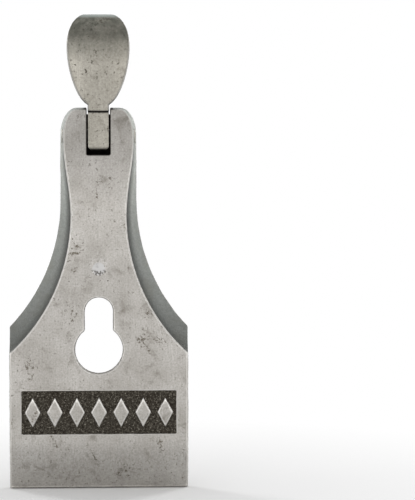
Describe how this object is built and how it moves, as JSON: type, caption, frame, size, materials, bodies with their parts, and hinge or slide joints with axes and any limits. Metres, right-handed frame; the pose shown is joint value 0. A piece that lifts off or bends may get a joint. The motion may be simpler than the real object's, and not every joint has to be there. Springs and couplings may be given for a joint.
{
  "type": "plane lever cap",
  "caption": "Cast-iron lever cap of a bench plane: keyhole for its screw, flared body with hollow back, cam lever on a cross pin and riveted flat spring.",
  "frame": {"origin": "axis of the lever-cap screw (centre of the round end of the keyhole's narrow slot) in the plane of the ground front face", "axes": "+Z along the cap from lip to lever, +Y from the front face back towards the plane iron, +X to the right seen from the front"},
  "size_m": [0.05, 0.0131, 0.1328],
  "materials": {
    "cap_iron": "ground bright on the front face and lip, rough cast and darkened on the back and sides",
    "lever_iron": "worn bright on the front, dark as cast in the hollows behind",
    "pin_steel": "plain drawn steel",
    "spring_steel": "bright strip flecked with brown rust",
    "rivet_steel": "flat head with a rusty ring"
  },
  "bodies": {
    "cap": {"cap_casting": "cap_iron", "lever_pin": "pin_steel", "spring_rivet": "rivet_steel"},
    "lever": {"cam_lever": "lever_iron"},
    "spring": {"flat_spring": "spring_steel"}
  },
  "joints": [
    {"name": "lever_pivot", "type": "hinge", "parent": "cap", "child": "lever", "pos_m": [0, 0.0052, 0.049], "axis": [1, 0, 0], "range_deg": [0, 90]},
    {"name": "spring_flex", "type": "hinge", "parent": "cap", "child": "spring", "pos_m": [0, 0.00802, 0.012], "axis": [1, 0, 0], "range_deg": [0, 1.6]}
  ],
  "couplings": [
    {"joint": "spring_flex", "follows": "lever_pivot", "ratio": 0.0175}
  ]
}
